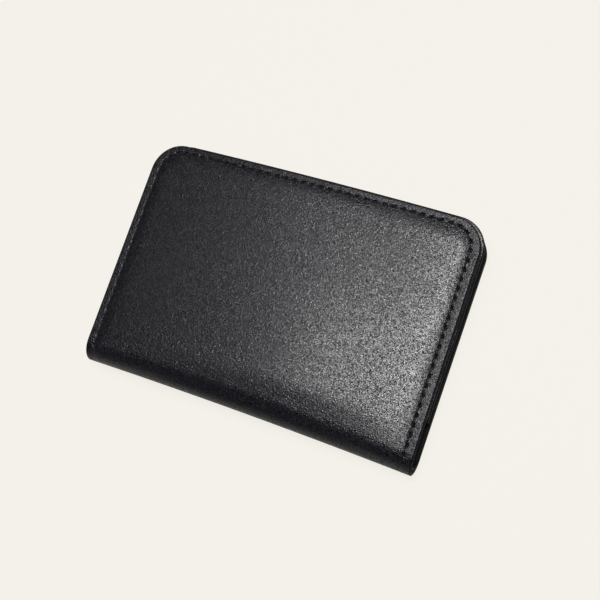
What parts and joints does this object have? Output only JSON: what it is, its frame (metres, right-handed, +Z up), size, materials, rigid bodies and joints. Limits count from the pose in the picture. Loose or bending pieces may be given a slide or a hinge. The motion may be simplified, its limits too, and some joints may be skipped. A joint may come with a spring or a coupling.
{
  "type": "card wallet",
  "caption": "Bifold card wallet in black leather with rounded free corners, sewn on three sides, with a folded gusset pocket, a card slot and a slip pocket.",
  "frame": {"origin": "under the middle of the closed wallet, in the plane of the back cover's outer face", "axes": "+X along the spine, +Y from the spine to the free edge, +Z up through the front cover"},
  "size_m": [0.111, 0.0784, 0.0176],
  "materials": {
    "outer_leather": "black fine grained leather with a soft sheen and painted edges",
    "inner_leather": "black fine grained leather, a little flatter than the cover",
    "lining_leather": "thin matt black lining leather",
    "fibre_board": "grey bonded leather fibre board, hidden",
    "foam_sheet": "thin off-white padding, hidden",
    "bonded_tape": "off-white reinforcing tape, hidden"
  },
  "bodies": {
    "back": {"back_cover": "outer_leather", "back_board": "fibre_board", "back_lining": "lining_leather", "gusset": "lining_leather"},
    "spine": {"spine_cover": "outer_leather", "spine_tape": "bonded_tape", "spine_lining": "lining_leather"},
    "front": {"front_cover": "outer_leather", "front_foam": "foam_sheet", "front_board": "fibre_board", "front_lining": "lining_leather", "flap_pocket": "inner_leather"},
    "pocket": {"pocket_front": "inner_leather", "card_slot": "inner_leather"}
  },
  "joints": [
    {"name": "spine_hinge", "type": "hinge", "parent": "back", "child": "spine", "pos_m": [0, -0.0362, 0.0021], "axis": [1, 0, 0], "range_deg": [0, 84]},
    {"name": "cover_hinge", "type": "hinge", "parent": "spine", "child": "front", "pos_m": [0, -0.0362, 0.01096], "axis": [1, 0, 0], "range_deg": [0, 84]},
    {"name": "pocket_hinge", "type": "hinge", "parent": "back", "child": "pocket", "pos_m": [0, 0.0371, 0.00912], "axis": [-1, 0, 0], "range_deg": [0, 9], "deforming": ["gusset"]}
  ],
  "couplings": [
    {"joint": "cover_hinge", "follows": "spine_hinge", "ratio": 1},
    {"joint": "pocket_hinge", "follows": "spine_hinge", "ratio": 0.1}
  ]
}
